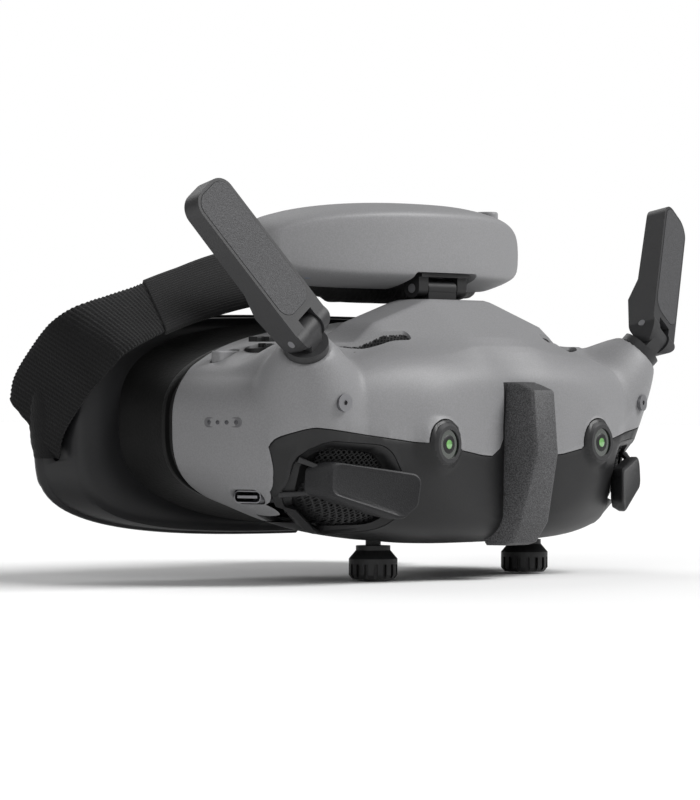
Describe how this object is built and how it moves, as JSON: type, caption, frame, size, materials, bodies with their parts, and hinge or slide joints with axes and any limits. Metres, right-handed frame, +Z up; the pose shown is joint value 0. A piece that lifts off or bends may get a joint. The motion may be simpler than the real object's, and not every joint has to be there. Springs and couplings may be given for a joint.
{
  "type": "fpv goggles",
  "caption": "Head-worn video goggles for flying a drone: folding antennas on swivels, sliding focusing eyepieces, tilting forehead battery, foam face seal and strap.",
  "frame": {"origin": "on the flat land of the belly, midway between the axes of the two adjusting knobs", "axes": "+X towards the wearer's left, +Y rearwards towards the wearer's face, +Z up; the front faces -Y"},
  "size_m": [0.2114, 0.1126, 0.1022],
  "materials": {
    "grey_shell": "fine satin moulded plastic",
    "pad_shell": "fine satin moulded plastic",
    "dark_panel": "satin moulded plastic",
    "strut": "coarse speckled spark texture",
    "fins": "fine texture",
    "mesh": "perforated",
    "antenna": "satin moulded plastic",
    "antenna_face": "coarse speckled spark texture",
    "black_plastic": "satin moulded plastic",
    "shroud_rubber": "smooth soft rubber",
    "frame_plastic": "satin moulded plastic",
    "foam": "foam under knitted fabric",
    "pad_fabric": "soft grained synthetic leather",
    "webbing": "ribbed webbing",
    "elastic": "fine woven elastic",
    "knob": "satin moulded plastic",
    "barrel": "fine satin",
    "buttons": "satin moulded plastic",
    "lens": "coated optical glass",
    "camera_glass": "green coated glass",
    "camera_ring": "satin",
    "display": "glossy display",
    "status": "smoked translucent",
    "steel": "fine turned metal",
    "jack": "smooth",
    "board": "circuit board",
    "sink": "anodised",
    "cells": "shrink film"
  },
  "bodies": {
    "visor": {"accessory_posts": "steel", "audio_jack": "jack", "belly_cover": "black_plastic", "camera_glasses": "camera_glass", "camera_module_l": "camera_ring", "camera_module_r": "camera_ring", "center_strut": "strut", "chassis_screws": "steel", "cushion_carrier": "black_plastic", "eyepiece_plate": "black_plastic", "face_cushion": "foam", "face_frame": "frame_plastic", "fan_housing": "black_plastic", "front_panel": "dark_panel", "front_shell": "grey_shell", "gasket_ring": "black_plastic", "guide_rails": "steel", "heat_sink": "sink", "hinge_bracket": "black_plastic", "hinge_pin": "steel", "light_shroud": "shroud_rubber", "main_board": "board", "mid_frame": "black_plastic", "status_lens": "status", "usb_port": "steel", "vent_fin_l": "fins", "vent_fin_r": "fins", "vent_meshes": "mesh"},
    "turret_l": {"antenna_turret_l": "antenna"},
    "blade_l": {"antenna_blade_l": "antenna", "antenna_cover_l": "antenna_face", "antenna_pin_l": "steel"},
    "carriage_l": {"lens_carriage_l": "black_plastic", "display_l": "display"},
    "barrel_l": {"eyepiece_barrel_l": "barrel", "eyepiece_lens_l": "lens"},
    "knob_l": {"adjusting_knob_l": "knob"},
    "turret_r": {"antenna_turret_r": "antenna"},
    "blade_r": {"antenna_blade_r": "antenna", "antenna_cover_r": "antenna_face", "antenna_pin_r": "steel"},
    "carriage_r": {"lens_carriage_r": "black_plastic", "display_r": "display"},
    "barrel_r": {"eyepiece_barrel_r": "barrel", "eyepiece_lens_r": "lens"},
    "knob_r": {"adjusting_knob_r": "knob"},
    "forehead": {"battery_housing": "pad_shell", "battery_rear_cover": "black_plastic", "battery_cells": "cells", "forehead_cushion": "pad_fabric", "pad_arm": "black_plastic"},
    "power_switch": {"power_button": "buttons"},
    "back_switch": {"back_button": "buttons"},
    "link_switch": {"link_button": "buttons"},
    "stick_base": {"joystick_base": "black_plastic"},
    "stick_stem": {"joystick_stem": "black_plastic"},
    "stick_cap": {"joystick_cap": "black_plastic"},
    "fan": {"fan_rotor": "black_plastic"},
    "strap": {"head_strap": "webbing", "elastic_band": "elastic"}
  },
  "joints": [
    {"name": "antenna_swivel_l", "type": "hinge", "parent": "visor", "child": "turret_l", "pos_m": [0.0722, -0.0097, 0.0506], "axis": [0.5573, -0.4112, 0.7214], "range_deg": [-60, 60]},
    {"name": "antenna_fold_l", "type": "hinge", "parent": "turret_l", "child": "blade_l", "pos_m": [0.07588, -0.01241, 0.05536], "axis": [0.7972, 0.024, -0.6032], "range_deg": [-35, 40]},
    {"name": "eye_slide_l", "type": "slide", "parent": "visor", "child": "carriage_l", "axis": [1, 0, 0], "range_m": [-0.005, 0.003]},
    {"name": "focus_knob_l", "type": "hinge", "parent": "carriage_l", "child": "knob_l", "pos_m": [0.033, 0, -0.005], "axis": [0, 0, 1], "range_deg": [-57.4, 57.4]},
    {"name": "focus_slide_l", "type": "slide", "parent": "carriage_l", "child": "barrel_l", "axis": [0, 1, 0], "range_m": [-0.003, 0.003]},
    {"name": "antenna_swivel_r", "type": "hinge", "parent": "visor", "child": "turret_r", "pos_m": [-0.0722, -0.0097, 0.0506], "axis": [-0.5573, -0.4112, 0.7214], "range_deg": [-60, 60]},
    {"name": "antenna_fold_r", "type": "hinge", "parent": "turret_r", "child": "blade_r", "pos_m": [-0.07588, -0.01241, 0.05536], "axis": [0.7972, -0.024, 0.6032], "range_deg": [-35, 40]},
    {"name": "eye_slide_r", "type": "slide", "parent": "visor", "child": "carriage_r", "axis": [-1, 0, 0], "range_m": [-0.005, 0.003]},
    {"name": "focus_knob_r", "type": "hinge", "parent": "carriage_r", "child": "knob_r", "pos_m": [-0.033, 0, -0.005], "axis": [0, 0, 1], "range_deg": [-57.4, 57.4]},
    {"name": "focus_slide_r", "type": "slide", "parent": "carriage_r", "child": "barrel_r", "axis": [0, 1, 0], "range_m": [-0.003, 0.003]},
    {"name": "forehead_tilt", "type": "hinge", "parent": "visor", "child": "forehead", "pos_m": [0, 0.005, 0.0674], "axis": [1, 0, 0], "range_deg": [-3, 20]},
    {"name": "power_press", "type": "slide", "parent": "forehead", "child": "power_switch", "axis": [0, 0, -1], "range_m": [0, 0.0006]},
    {"name": "back_press", "type": "slide", "parent": "visor", "child": "back_switch", "axis": [0, 0, -1], "range_m": [0, 0.0006]},
    {"name": "link_press", "type": "slide", "parent": "visor", "child": "link_switch", "axis": [0, 0, -1], "range_m": [0, 0.0006]},
    {"name": "joystick_pitch", "type": "hinge", "parent": "visor", "child": "stick_base", "pos_m": [-0.0576, 0.0171, 0.0504], "axis": [1, 0, 0], "range_deg": [-6, 6]},
    {"name": "joystick_roll", "type": "hinge", "parent": "stick_base", "child": "stick_stem", "pos_m": [-0.0576, 0.0171, 0.0504], "axis": [0, 1, 0], "range_deg": [-6, 6]},
    {"name": "joystick_press", "type": "slide", "parent": "stick_stem", "child": "stick_cap", "axis": [0, 0, -1], "range_m": [0, 0.00015]},
    {"name": "fan_spin", "type": "hinge", "parent": "visor", "child": "fan", "pos_m": [0, -0.015, 0.031], "axis": [0, 1, 0], "continuous": true},
    {"name": "strap_swing", "type": "hinge", "parent": "visor", "child": "strap", "pos_m": [0, 0.0695, 0.034], "axis": [1, 0, 0], "range_deg": [-117, 0]}
  ],
  "couplings": [
    {"joint": "focus_knob_l", "follows": "focus_slide_l", "rad_per_m": 333.33},
    {"joint": "focus_knob_r", "follows": "focus_slide_r", "rad_per_m": 333.33}
  ]
}
